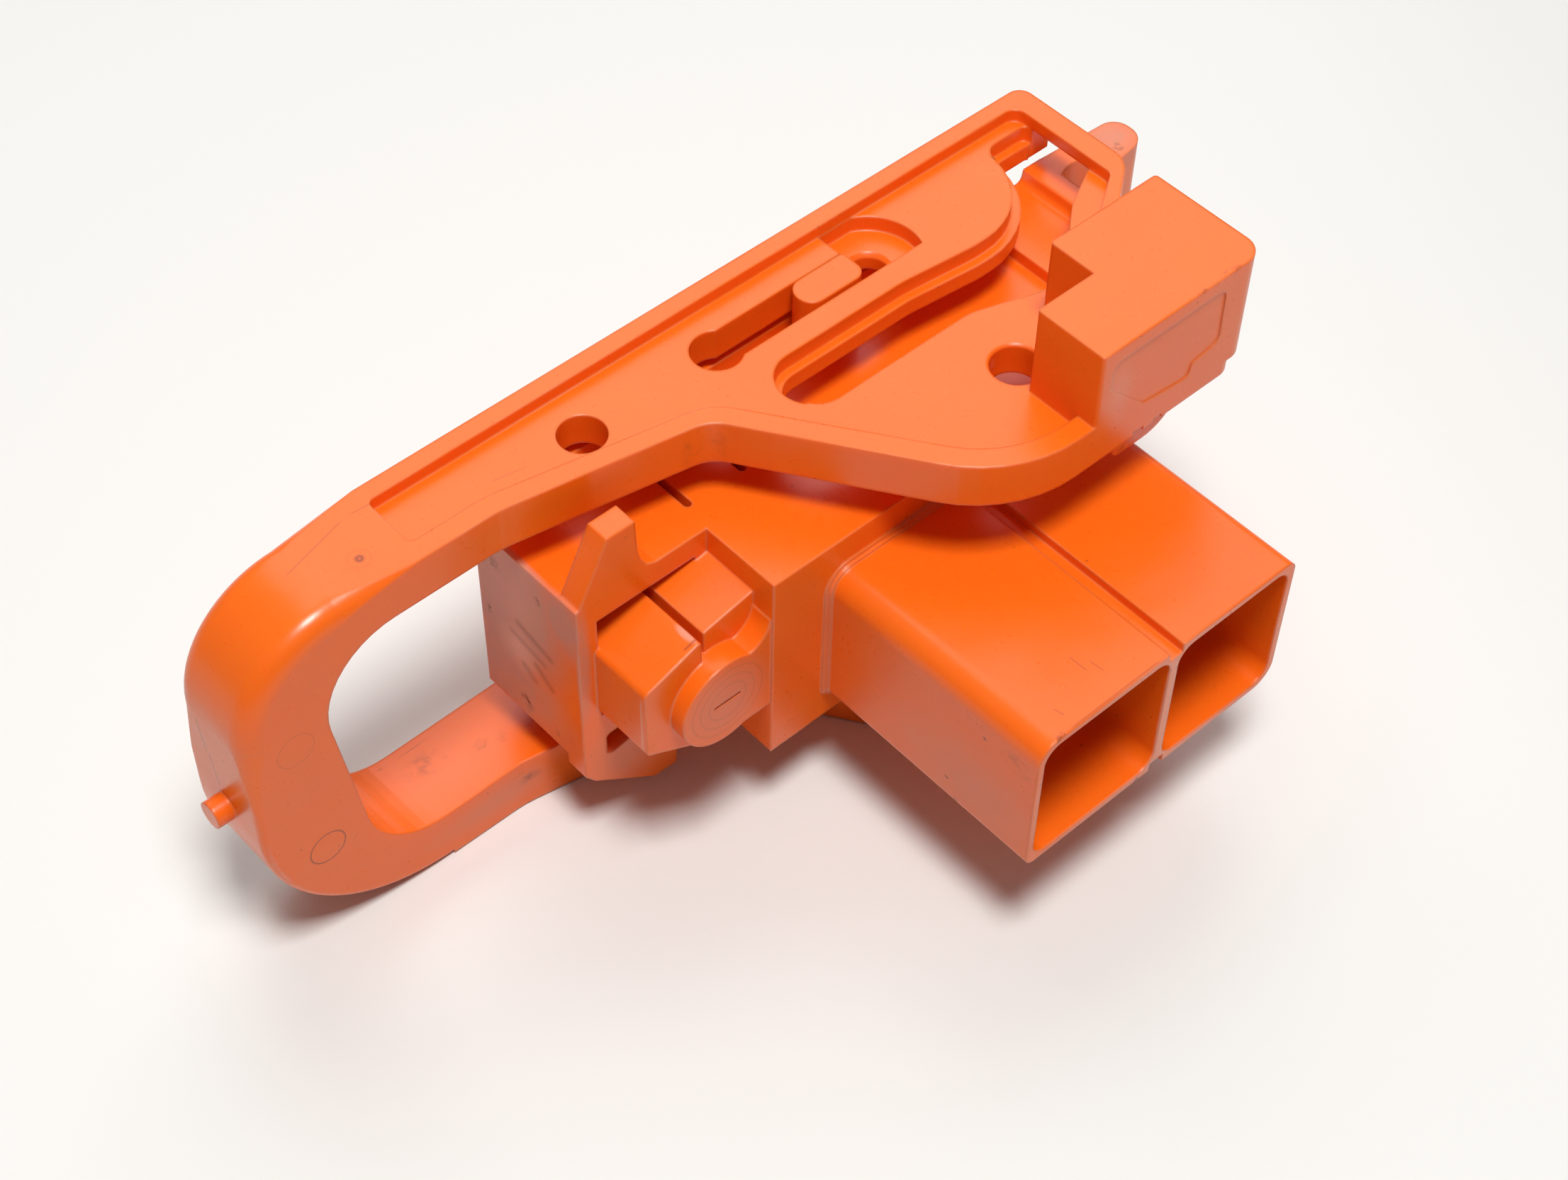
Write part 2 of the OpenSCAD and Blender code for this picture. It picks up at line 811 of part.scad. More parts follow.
module housing() {
    color(orange) {
        difference() {
            union() {
                // Main box
                translate([body_x, body_y, body_low])
                    cube([body_x1 - body_x, body_y1 - body_y, body_top - body_low]);
                // End box with its bevelled lower edge
                plate_yz(body_x, plate_x - body_x)
                    polygon([[end_y, body_low + 2.4], [end_y, body_top], [body_y + 1, body_top],
                             [body_y + 1, body_low], [end_y + 2.4, body_low]]);
                plate_yz(plate_x - plate_t, plate_t) {
                    prong_profile();
                    foot_profile();
                }
                // Shrouds with a flared root
                plate_yz(body_x1 - 1, mouth_x - body_x1 + 1)
                    shroud_outline(0);
                for (step = [[0.3, 0.8], [0.8, 0.3]])
                    plate_yz(body_x1 - 1, step[0] + 1)
                        shroud_outline(step[1]);
                both_sides()
                    guide_boss();
                both_sides()
                    guide_rail();
                // Raised pads and the block that carries the far lug
                both_sides()
                    plate_yz(pad_x, pad_x1 - pad_x)
                        pad_profile();
                translate([0, 0, lever_h - lug_top])
                    linear_extrude(2 * lug_top - lever_h)
                        lug_outline();
            }
            // Room for the fuse, with a step for the lid
            cavity(lid_x + lid_t + seal_t, body_x1 - wall, 0);
            cavity(body_x - 1, lid_x + lid_t + seal_t, lid_rim);
            // Pocket behind the window in the end plate
            translate([body_x + wall, end_y + 3.3, mid_z - 6])
                cube([plate_x - body_x - wall + 1, body_y - end_y - 3.3 - wall, 19.6]);
            plate_yz(12, 20)
                polygon(rounded([[-19.7, mid_z - 15, 0], [-19.7, mid_z - 11, 0.8], [-15.4, mid_z - 11, 0],
                                 [-15.4, mid_z - 15, 0], [-18.8, mid_z - 15.6, 0]]));
            // Shroud bores
            plate_yz(body_x1 + 1.5, mouth_x)
                shroud_bore(bore_y[0], bore_y[1]);
            plate_yz(body_x1 + 1.5, mouth_x)
                shroud_bore(bore_y[2], bore_y[3]);
            // Slots for the blades
            for (y = blade_y)
                translate([body_x1 - wall - 1, y - blade_t / 2 - fit, mid_z - blade_w / 2 - fit])
                    cube([6, blade_t + 2 * fit, blade_w + 2 * fit]);
            both_sides() {
                finger_slit(-0.6);
                finger_slit(9);
            }
            // Hollow in the far end
            translate([15, body_y1 + 3, body_low + wall])
                cube([pad_x1 - 15 - wall, 20, body_top - body_low - 2 * wall]);
        }
        difference() {
            union() {
                plate_yz(body_x + wall, 35.1 - body_x - wall)
                    low_step();
                plate_yz(body_x + wall, 34.2 - body_x - wall)
                    high_step();
                plate_yz(body_x + wall, 31 - body_x - wall)
                    polygon([[-12, mid_z - 7], [-12, mid_z + 7.5], [-9, mid_z + 7.5], [-9, mid_z - 7]]);
                plate_yz(30, disc_x - 30)
                    disc_outline();
            }
            plate_yz(disc_x - 0.25, 1)
                translate([disc_y, mid_z])
                    square([4.5, 0.5], center = true);
        }
        // Posts for the lid screws and for the bolt inserts
        difference() {
            screw_spots()
                rod_x(lid_x + lid_t + seal_t, 0, 0, 3.2, body_x1 - wall - lid_x - lid_t - seal_t + 1);
            screw_spots()
                rod_x(lid_x - 1, 0, 0, screw_d / 2, screw_len + 3);
        }
        difference() {
            for (y = bolt_y)
                translate([blade_x + blade_t, y - 5.6, mid_z - 7])
                    cube([body_x1 - wall - blade_x - blade_t + 1, 11.2, 14]);
            for (y = bolt_y)
                rod_x(blade_x, y, mid_z, insert_r, 10);
        }
    }
}

module rear_cover() {
    color(orange)
        difference() {
            cavity(lid_x, lid_x + lid_t, lid_rim - fit);
            screw_spots()
                rod_x(lid_x - 1, 0, 0, screw_d / 2 + fit, lid_t + 2);
        }
}

module cover_seal() {
    color(grey)
        difference() {
            cavity(lid_x + lid_t, lid_x + lid_t + seal_t, lid_rim - fit);
            cavity(lid_x, lid_x + lid_t + 2, -0.2);
        }
}

module cover_screw(i) {
    sy = i % 2 == 0 ? body_y + wall + screw_inset : body_y1 - wall - screw_inset;
    sz = i < 2 ? body_low + wall + screw_inset : body_top - wall - screw_inset;
    color(steel) {
        difference() {
            rod_x(lid_x - 1.7, sy, sz, screw_head / 2, 1.7);
            rod_x(lid_x - 2, sy, sz, 1.2, 1.4);
        }
        rod_x(lid_x - eps, sy, sz, screw_d / 2 - 0.05, screw_len);
    }
}

module fuse_rod(r, len) {
    translate([fuse_x, fuse_y - len / 2, mid_z])
        rotate([-90, 0, 0])
            cylinder(r = r, h = len);
}

module fuse_body() {
    color(cream)
        difference() {
            fuse_rod(fuse_d / 2, fuse_len - 2 * cap_t);
            fuse_rod(fuse_d / 2 - 2, fuse_len);
        }
}

module fuse_filler() {
    color([0.85, 0.82, 0.76])
        difference() {
            fuse_rod(fuse_d / 2 - 2, fuse_len - 2 * cap_t);
            translate([fuse_x - element_t / 2 - fit, fuse_y - fuse_len / 2, mid_z - element_w / 2 - fit])
                cube([element_t + 2 * fit, fuse_len, element_w + 2 * fit]);
        }
}

module fuse_element() {
    color(steel)
        difference() {
            translate([fuse_x - element_t / 2, fuse_y - fuse_len / 2 + cap_t, mid_z - element_w / 2])
                cube([element_t, fuse_len - 2 * cap_t, element_w]);
            for (i = [-2:2])
                for (z = [-1:1])
                    rod_x(fuse_x - 1, fuse_y + i * element_step, mid_z + z * element_w / 2, element_hole / 2, 2);
        }
}

// End cap; side is -1 for the near end and 1 for the far end
module fuse_cap(side) {
    color(brass)
        translate([fuse_x, fuse_y + side * fuse_len / 2, mid_z])
            rotate([side * 90, 0, 0])
                difference() {
                    cylinder(r = fuse_d / 2 + cap_t, h = cap_len);
                    translate([0, 0, cap_t])
                        cylinder(r = fuse_d / 2, h = cap_len);
                }
}

module fuse_foot(i) {
    side = i == 0 ? -1 : 1;
    tip = bolt_y[i] + side * foot_tip;
    face = fuse_y + side * fuse_len / 2;
    color(copper)
        difference() {
            union() {
                translate([fuse_x - 6, min(face, face + side * blade_t), mid_z - blade_w / 2])
                    cube([foot_x + blade_t - fuse_x + 6, blade_t, blade_w]);
                translate([foot_x, min(tip, face), mid_z - blade_w / 2])
                    cube([blade_t, abs(tip - face), blade_w]);
            }
            rod_x(foot_x - 1, bolt_y[i], mid_z, bolt_d / 2 + 0.3, blade_t + 2);
        }
}

module blade(i) {
    side = i == 0 ? -1 : 1;
    tip = bolt_y[i] + side * foot_tip;
    inner = blade_y[i] - side * blade_t / 2;
    tip_x = mouth_x - blade_back;
    color(copper) {
        difference() {
            translate([blade_x, min(tip, inner), mid_z - blade_w / 2])
                cube([blade_t, abs(tip - inner), blade_w]);
            rod_x(blade_x - 1, bolt_y[i], mid_z, bolt_d / 2 + 0.3, blade_t + 2);
        }
        translate([0, blade_y[i] + blade_t / 2, 0])
            rotate([90, 0, 0])
                linear_extrude(blade_t)
                    polygon([
                        [blade_x + blade_t - eps, mid_z - blade_w / 2],
                        [tip_x - 2, mid_z - blade_w / 2],
                        [tip_x, mid_z - blade_w / 2 + 2],
                        [tip_x, mid_z + blade_w / 2 - 2],
                        [tip_x - 2, mid_z + blade_w / 2],
                        [blade_x + blade_t - eps, mid_z + blade_w / 2]
                    ]);
    }
}

module foot_bolt(i) {
    head_x = foot_x - washer_t - head_t;
    color(steel) {
        difference() {
            rod_x(head_x, bolt_y[i], mid_z, bolt_head / 2, head_t);
            translate([head_x - 1, bolt_y[i], mid_z])
                rotate([0, 90, 0])
                    cylinder(d = hex_d, h = hex_deep + 1, $fn = 6);
        }
        rod_x(head_x + head_t - eps, bolt_y[i], mid_z, bolt_d / 2, washer_t + 2 * blade_t + bolt_out);
    }
}

module spring_washer(i) {
    color(steel)
        difference() {
            rod_x(foot_x - washer_t, bolt_y[i], mid_z, 4.3, washer_t);
            rod_x(foot_x - 2 * washer_t, bolt_y[i], mid_z, bolt_d / 2 + 0.2, 3 * washer_t);
            translate([foot_x - washer_t - 1, bolt_y[i] + 2, mid_z - 0.4])
                cube([washer_t + 2, 4, 0.8]);
        }
}

module nut_insert(i) {
    color(brass)
        difference() {
            rod_x(blade_x + blade_t, bolt_y[i], mid_z, insert_r, insert_len);
            rod_x(blade_x, bolt_y[i], mid_z, bolt_d / 2 + 0.05, 9);
        }
}

module interlock_holder() {
    color(grey)
        difference() {
            translate([conn_x0 + holder_gap, conn_y0, conn_z0 + holder_gap])
                cube([conn_x1 - conn_x0 - 2 * holder_gap, holder_len, conn_z1 - conn_z0 - 2 * holder_gap]);
            for (s = [-1, 1])
                translate([pin_x + (s * pin_pitch - pin_slot_w) / 2, conn_y0 - 1, pin_z - pin_slot_h / 2])
                    cube([pin_slot_w, 2 * holder_len, pin_slot_h]);
            translate([pin_x - (pin_pitch + pin_slot_w) / 2, conn_y0 - 1, pin_z - pin_slot_h / 2])
                cube([pin_pitch + pin_slot_w, pin_deep + 1, pin_slot_h]);
        }
}

module interlock_bridge() {
    pin_t = pin_slot_w - 2 * fit;
    pin_h = pin_slot_h - 2 * fit;
    color(brass) {
        translate([pin_x - (pin_pitch + pin_t) / 2, conn_y0 + 2 * fit, pin_z - pin_h / 2])
            cube([pin_pitch + pin_t, pin_t, pin_h]);
        for (s = [-1, 1])
            translate([pin_x + (s * pin_pitch - pin_t) / 2, conn_y0 + 2 * fit, pin_z - pin_h / 2])
                cube([pin_t, pin_len, pin_h]);
    }
}

place() housing();
place() lever();
place() rear_cover();
place() cover_seal();
place() cover_screw(0);  // cover_screw_a
place() cover_screw(1);  // cover_screw_b
place() cover_screw(2);  // cover_screw_c
place() cover_screw(3);  // cover_screw_d
place() fuse_body();
place() fuse_filler();
place() fuse_element();
place() fuse_cap(-1);  // fuse_cap_a
place() fuse_cap(1);  // fuse_cap_b
place() fuse_foot(0);  // fuse_foot_a
place() fuse_foot(1);  // fuse_foot_b
place() blade(0);  // blade_a
place() blade(1);  // blade_b
place() foot_bolt(0);  // foot_bolt_a
place() foot_bolt(1);  // foot_bolt_b
place() spring_washer(0);  // spring_washer_a
place() spring_washer(1);  // spring_washer_b
place() nut_insert(0);  // nut_insert_a
place() nut_insert(1);  // nut_insert_b
place() interlock_holder();
place() interlock_bridge();
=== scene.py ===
import math

import bmesh
import bpy
from mathutils import Matrix, Vector

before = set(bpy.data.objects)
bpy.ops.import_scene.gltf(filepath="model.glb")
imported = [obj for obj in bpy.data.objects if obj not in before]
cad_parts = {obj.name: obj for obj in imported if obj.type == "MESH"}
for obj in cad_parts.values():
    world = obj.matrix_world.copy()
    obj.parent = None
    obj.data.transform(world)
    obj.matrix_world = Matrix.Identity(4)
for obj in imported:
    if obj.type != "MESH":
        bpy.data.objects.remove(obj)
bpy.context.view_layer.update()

MM = 0.001

# Places on the part are given in millimetres from the datum of its source
# This is the middle of the part's box there, across and along the lever
ORIGIN = (38.4, 11.95)

# How many of each pattern fit in a metre: clouds of shade of 22 mm, waves of 11 mm,
# grain of 2.4 mm and cells of 2.6 mm, a few of which hold a speck of dirt
# Real grain is far finer, and is drawn this coarse so that it shows
SHADES, WAVES, GRAIN, SPECKS = 45.0, 90.0, 420.0, 380.0

# Radius over which the edges are rounded in the shading and painted paler, in metres
EDGE_RADIUS = 0.0006


def at(x, y, z=0.0):
    """A place of the part's source, in the row frame, in metres."""
    return Vector(((x - ORIGIN[0]) * MM, (y - ORIGIN[1]) * MM, z * MM))


def colour(code):
    """Linear colour of an sRGB hex value."""
    parts = [int(code[i:i + 2], 16) / 255 for i in (0, 2, 4)]
    return [c / 12.92 if c <= 0.04045 else ((c + 0.055) / 1.055) ** 2.4 for c in parts] + [1.0]


def add(tree, kind, sockets=None, **settings):
    """Adds a node, sets it, and fills or links its inputs."""
    node = tree.nodes.new(kind)
    for name, value in settings.items():
        setattr(node, name, value)
    for name, value in (sockets or {}).items():
        if isinstance(value, bpy.types.NodeSocket):
            tree.links.new(value, node.inputs[name])
        else:
            node.inputs[name].default_value = value
    return node


# Camera, fitted to the photo

view_from = Vector((165.5, -167.25, 317.6)) * MM
turn, tip, roll = math.radians(46.84), math.radians(50.02), math.radians(1.35)
back = Vector((math.sin(turn) * math.cos(tip), -math.cos(turn) * math.cos(tip), math.sin(tip)))
side = Vector((math.cos(turn), math.sin(turn), 0))
up = back.cross(side)
side, up = math.cos(roll) * side + math.sin(roll) * up, math.cos(roll) * up - math.sin(roll) * side
eye = bpy.data.cameras.new("camera")
eye.lens = 63.21
eye.sensor_width = 36
eye.sensor_fit = "HORIZONTAL"
eye.clip_start = 0.01
eye.clip_end = 20
camera = bpy.data.objects.new("camera", eye)
camera.matrix_world = Matrix.Translation(view_from) @ Matrix((side, up, back)).transposed().to_4x4()
bpy.context.scene.collection.objects.link(camera)
bpy.context.scene.camera = camera

# Light: a pale room, with a lamp overhead and a large window on the far left

scene = bpy.context.scene
scene.view_settings.view_transform = "Standard"
world = bpy.data.worlds.new("room")
scene.world = world
world.use_nodes = True
sky = world.node_tree
sky.nodes.clear()
path = add(sky, "ShaderNodeLightPath")
room = add(sky, "ShaderNodeBackground", {"Color": colour("FDFDFF"), "Strength": 0.18})
white = add(sky, "ShaderNodeBackground", {"Color": colour("FDFCF5"), "Strength": 1.0})
seen = add(sky, "ShaderNodeMixShader", {0: path.outputs["Is Camera Ray"], 1: room.outputs[0], 2: white.outputs[0]})
add(sky, "ShaderNodeOutputWorld", {"Surface": seen.outputs[0]})


def lamp(name, place, aim, size, power):
    """A white lamp at a place, turned to a point, with its size in metres and its power in watts."""
    light = bpy.data.lights.new(name, "AREA")
    light.shape = "RECTANGLE"
    light.size, light.size_y = size
    light.energy = power
    body = bpy.data.objects.new(name, light)
    body.location = place
    body.rotation_euler = (Vector(aim) - Vector(place)).to_track_quat("-Z", "Y").to_euler()
    scene.collection.objects.link(body)


lamp("ceiling_lamp", (0.22, -0.12, 1.0), (0, 0, 0.02), (0.26, 0.26), 9.8)
lamp("window", (-0.62, 0.42, 0.85), (0, 0, 0.03), (1.0, 1.0), 5.3)

# Floor

pale = bpy.data.materials.new("painted_table")
pale.use_nodes = True
tree = pale.node_tree
tree.nodes.clear()
paint = add(tree, "ShaderNodeBsdfPrincipled", {
    "Base Color": colour("DFDEDA"), "Roughness": 0.30, "Specular IOR Level": 0.35})
add(tree, "ShaderNodeOutputMaterial", {"Surface": paint.outputs[0]})
mesh = bpy.data.meshes.new("floor")
bm = bmesh.new()
bmesh.ops.create_grid(bm, x_segments=1, y_segments=1, size=3.0)
bm.to_mesh(mesh)
bm.free()
floor = bpy.data.objects.new("floor", mesh)
floor.data.materials.append(pale)
scene.collection.objects.link(floor)
floor.location.z = -0.0002


# Materials


def finish_of(name):
    """An empty material, its node tree and the place on the part."""
    material = bpy.data.materials.new(name)
    material.use_nodes = True
    material.node_tree.nodes.clear()
    where = add(material.node_tree, "ShaderNodeTexCoord").outputs["Object"]
    return material, material.node_tree, where


def patch(tree, where, centre, size, soft, strength):
    """A soft spot round a place, with its half sizes in millimetres."""
    away = add(tree, "ShaderNodeVectorMath", {0: where, 1: at(*centre)}, operation="SUBTRACT")
    share = add(tree, "ShaderNodeVectorMath", {0: away.outputs[0], 1: Vector(size) * MM}, operation="DIVIDE")
    reach = add(tree, "ShaderNodeVectorMath", {0: share.outputs[0]}, operation="LENGTH")
    return add(tree, "ShaderNodeMapRange", {
        "Value": reach.outputs["Value"], "From Min": 1.0, "From Max": 1.0 - soft, "To Max": strength}).outputs[0]


def ring(tree, where, centre, radius, width, strength):
    """A thin circle that an ejector pin or a gate has left."""
    reach = add(tree, "ShaderNodeVectorMath", {0: where, 1: at(*centre)}, operation="DISTANCE")
    off = add(tree, "ShaderNodeMath", {0: reach.outputs["Value"], 1: radius * MM}, operation="SUBTRACT")
    side = add(tree, "ShaderNodeMath", {0: off.outputs[0]}, operation="ABSOLUTE")
    return add(tree, "ShaderNodeMapRange", {
        "Value": side.outputs[0], "From Min": width * MM, "From Max": 0.0, "To Max": strength}).outputs[0]


def scratch(tree, where, start, end, width, strength):
    """A straight mark between two places, with its width in millimetres."""
    start, end = at(*start), at(*end)
    away = add(tree, "ShaderNodeVectorMath", {0: where, 1: start}, operation="SUBTRACT")
    along = (end - start).normalized()
    off = add(tree, "ShaderNodeVectorMath", {0: away.outputs[0], 1: along}, operation="CROSS_PRODUCT")
    off = add(tree, "ShaderNodeVectorMath", {0: off.outputs[0]}, operation="LENGTH")
    line = add(tree, "ShaderNodeMapRange", {
        "Value": off.outputs["Value"], "From Min": width * MM, "From Max": 0.0, "To Max": strength}).outputs[0]
    reach = add(tree, "ShaderNodeVectorMath", {
        0: where, 1: (start + end) / 2}, operation="DISTANCE").outputs["Value"]
    length = (end - start).length / 2
    within = add(tree, "ShaderNodeMapRange", {
        "Value": reach, "From Min": length, "From Max": 0.8 * length}).outputs[0]
    return add(tree, "ShaderNodeMath", {0: line, 1: within}, operation="MULTIPLY").outputs[0]


def strongest(tree, masks):
    """The largest of some masks, at each place."""
    most = masks[0]
    for mask in masks[1:]:
        most = add(tree, "ShaderNodeMath", {0: most, 1: mask}, operation="MAXIMUM").outputs[0]
    return most


def over(tree, below, mask, code):
    """A colour laid over another one where a mask is."""
    return add(tree, "ShaderNodeMix", {0: mask, 6: below, 7: colour(code)}, data_type="RGBA").outputs[2]


# Polyamide with glass fibre, injection-moulded in signal orange
# A satin skin with soft highlights, pale where it is scuffed, with small specks of dirt. Its edges are painted
# paler, partly rubbed and partly a painted highlight; a few pale patches and lines are painted highlights, and a
# few dark marks are painted shade
def moulded_orange(name, dusty, pale, dirt_and_shade_spots, rings, lines, flash_and_highlight):
    material, tree, where = finish_of(name)
    cloud = add(tree, "ShaderNodeTexNoise", {"Vector": where, "Scale": SHADES, "Detail": 3.0}).outputs["Fac"]
    fine = add(tree, "ShaderNodeTexNoise", {
        "Vector": where, "Scale": GRAIN, "Detail": 6.0, "Roughness": 0.65}).outputs["Fac"]
    base = add(tree, "ShaderNodeMix", {
        0: cloud, 6: colour("EE630C"), 7: colour("F06D13")}, data_type="RGBA").outputs[2]

    # Pale, pinkish scuffs
    breakup = add(tree, "ShaderNodeMapRange", {
        "Value": fine, "From Min": 0.3, "From Max": 0.7, "To Min": 0.75}).outputs[0]
    dust = strongest(tree, [patch(tree, where, *p) for p in dusty])
    scuffs = add(tree, "ShaderNodeMath", {0: dust, 1: breakup}, operation="MULTIPLY").outputs[0]
    base = over(tree, base, scuffs, "C08A78")
    # Paler still: pale wear and moulding flash, and some patches and lines that are a painted highlight
    light = strongest(tree, [patch(tree, where, *p) for p in pale] + [scratch(tree, where, *l) for l in flash_and_highlight])
    base = over(tree, base, light, "E3A48E")

    # Paler edges, in patches: partly rubbed wear and partly a painted highlight along every edge
    edge = add(tree, "ShaderNodeBevel", {"Radius": EDGE_RADIUS}, samples=6)
    flat = add(tree, "ShaderNodeNewGeometry").outputs["True Normal"]
    turn = add(tree, "ShaderNodeVectorMath", {
        0: edge.outputs[0], 1: flat}, operation="DOT_PRODUCT").outputs["Value"]
    edge_wear_and_highlight = add(tree, "ShaderNodeMapRange", {
        "Value": turn, "From Min": 0.995, "From Max": 0.86, "To Max": 0.4}).outputs[0]
    edge_patches = add(tree, "ShaderNodeMapRange", {
        "Value": cloud, "From Min": 0.42, "From Max": 0.66, "To Min": 0.12}).outputs[0]
    edge_wear_and_highlight = add(tree, "ShaderNodeMath", {0: edge_wear_and_highlight, 1: edge_patches}, operation="MULTIPLY").outputs[0]
    base = over(tree, base, edge_wear_and_highlight, "F0A184")

    # Specks of dirt, some of them in known places, and dark lines and rings; a few dark marks are painted shade in
    # the gap under the connector block
    cells = add(tree, "ShaderNodeTexVoronoi", {"Vector": where, "Scale": SPECKS})
    few = add(tree, "ShaderNodeMapRange", {
        "Value": cells.outputs["Color"], "From Min": 0.74, "From Max": 0.78}).outputs[0]
    dot = add(tree, "ShaderNodeMapRange", {
        "Value": cells.outputs["Distance"], "From Min": 0.08, "From Max": 0.04, "To Max": 0.5}).outputs[0]
    dots = add(tree, "ShaderNodeMath", {0: dot, 1: few}, operation="MULTIPLY").outputs[0]
    dirt_and_shade = strongest(tree, [patch(tree, where, *p) for p in dirt_and_shade_spots])
    ragged = add(tree, "ShaderNodeMapRange", {"Value": fine, "From Min": 0.46, "From Max": 0.66}).outputs[0]
    dirt_and_shade = add(tree, "ShaderNodeMath", {0: dirt_and_shade, 1: ragged}, operation="MULTIPLY").outputs[0]
    marks = [ring(tree, where, *r) for r in rings] + [scratch(tree, where, *l) for l in lines]
    marks = strongest(tree, [dots, dirt_and_shade] + marks)
    base = over(tree, base, marks, "6E2A16")

    # Satin skin, a little uneven, duller where it is scuffed
    dull = add(tree, "ShaderNodeMath", {0: scuffs, 1: 0.25, 2: 0.23}, operation="MULTIPLY_ADD").outputs[0]
    gloss = add(tree, "ShaderNodeMath", {0: fine, 1: 0.12, 2: dull}, operation="MULTIPLY_ADD").outputs[0]
    wave = add(tree, "ShaderNodeTexNoise", {"Vector": where, "Scale": WAVES, "Detail": 1.0}).outputs["Fac"]
    soft = add(tree, "ShaderNodeBump", {
        "Height": wave, "Strength": 0.12, "Distance": 0.002, "Normal": edge.outputs[0]})
    bump = add(tree, "ShaderNodeBump", {
        "Height": fine, "Strength": 0.05, "Distance": 0.0004, "Normal": soft.outputs[0]})
    skin = add(tree, "ShaderNodeBsdfPrincipled", {
        "Base Color": base, "Roughness": gloss, "IOR": 1.5, "Normal": bump.outputs[0], "Subsurface Weight": 0.3,
        "Subsurface Radius": (1.0, 0.2, 0.03), "Subsurface Scale": 0.002})
    add(tree, "ShaderNodeOutputMaterial", {"Surface": skin.outputs[0]})
    return material


def metal(name, code, other, roughness):
    """A metal with slightly uneven colour and polish."""
    material, tree, where = finish_of(name)
    cloud = add(tree, "ShaderNodeTexNoise", {"Vector": where, "Scale": 160.0, "Detail": 4.0}).outputs["Fac"]
    base = add(tree, "ShaderNodeMix", {0: cloud, 6: colour(code), 7: colour(other)}, data_type="RGBA").outputs[2]
    polish = add(tree, "ShaderNodeMapRange", {
        "Value": cloud, "To Min": roughness - 0.07, "To Max": roughness + 0.07}).outputs[0]
    skin = add(tree, "ShaderNodeBsdfPrincipled", {"Base Color": base, "Roughness": polish, "Metallic": 1.0})
    add(tree, "ShaderNodeOutputMaterial", {"Surface": skin.outputs[0]})
    return material


def matt(name, code, other, roughness, grain, depth):
    """A dull material with a grain of some millimetres and a depth in millimetres."""
    material, tree, where = finish_of(name)
    cloud = add(tree, "ShaderNodeTexNoise", {
        "Vector": where, "Scale": 1 / (grain * MM), "Detail": 4.0}).outputs["Fac"]
    base = add(tree, "ShaderNodeMix", {0: cloud, 6: colour(code), 7: colour(other)}, data_type="RGBA").outputs[2]
    bump = add(tree, "ShaderNodeBump", {"Height": cloud, "Strength": 0.6, "Distance": depth * MM})
    skin = add(tree, "ShaderNodeBsdfPrincipled", {
        "Base Color": base, "Roughness": roughness, "Normal": bump.outputs[0]})
    add(tree, "ShaderNodeOutputMaterial", {"Surface": skin.outputs[0]})
    return material


def dress(material, *nodes):
    """Gives CAD nodes their material."""
    for node in nodes:
        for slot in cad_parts[node].material_slots:
            slot.material = material


# Soft patches: middle, half sizes, softness and strength. Rings: middle, radius, width and strength
# Lines: both ends, width and strength
housing_dust = [
    ((10, -23.6, 40), (15, 1.2, 22), 0.5, 0.95),
    ((22, -23.6, 44), (7, 1.2, 9), 0.7, 0.9),
    ((9, -23.6, 22), (10, 1.2, 15), 0.5, 0.9),
    ((14, -23.6, 22), (10, 1.2, 11), 0.7, 0.7),
    ((25, -23, 38), (1, 1.8, 14), 0.6, 0.6),
    ((25, -16, 14), (1.5, 9, 10), 0.8, 0.4),
    ((66, 8.3, 24), (18, 1.5, 12), 0.9, 0.4),
    ((9.5, 90, 52), (6, 7, 4), 0.7, 0.7),
    ((37.8, -9.2, 31), (1, 8, 8), 0.6, 0.3),
]
housing_pale_and_highlight = [
    ((11.7, -23.6, 30), (5, 1, 6), 0.9, 0.8),
    ((10, -23.6, 40), (9, 1, 12), 0.9, 0.4),
    # Pale moulding flash on the top of the low step, with a painted highlight on it
    ((32.6, -11.8, 42.2), (2.3, 0.8, 1.0), 0.45, 0.6),
    ((77, 33.3, 30), (0.7, 30, 16), 0.3, 0.45),
]
housing_dirt = [
    ((6, -23.6, 33), (0.7, 1, 1.4), 0.5, 1.5),
    ((16.8, -23.6, 44), (0.9, 1, 1), 0.5, 1.5),
    ((12.7, -23.6, 18.9), (1.6, 1, 2.2), 0.7, 1.2),
    ((19.5, -23.6, 18), (0.8, 1, 1.2), 0.6, 1.0),
    ((7.5, -23.6, 43), (2.5, 1, 3), 0.9, 0.8),
    ((76.8, 33.3, 18.6), (1, 1.6, 0.7), 0.5, 1.2),
    ((76.8, 29.6, 18.3), (1, 0.7, 0.5), 0.4, 1.6),
    ((76.8, 9.4, 35.8), (0.8, 0.6, 1.4), 0.5, 1.2),
    ((76.5, 11.7, 43.1), (0.9, 1.4, 0.8), 0.5, 1.2),
    ((74, 8.3, 37), (4, 0.8, 2.2), 0.9, 0.6),
    ((11.6, 89.5, 52.8), (1.1, 1.1, 1), 0.5, 1.4),
    ((34.2, -13.4, 19.8), (0.8, 1.2, 1), 0.5, 1.0),
]
housing_rings = [((37.8, -9.2, 31), r, 0.2, 0.2) for r in (3.2, 4.7, 6.1)]
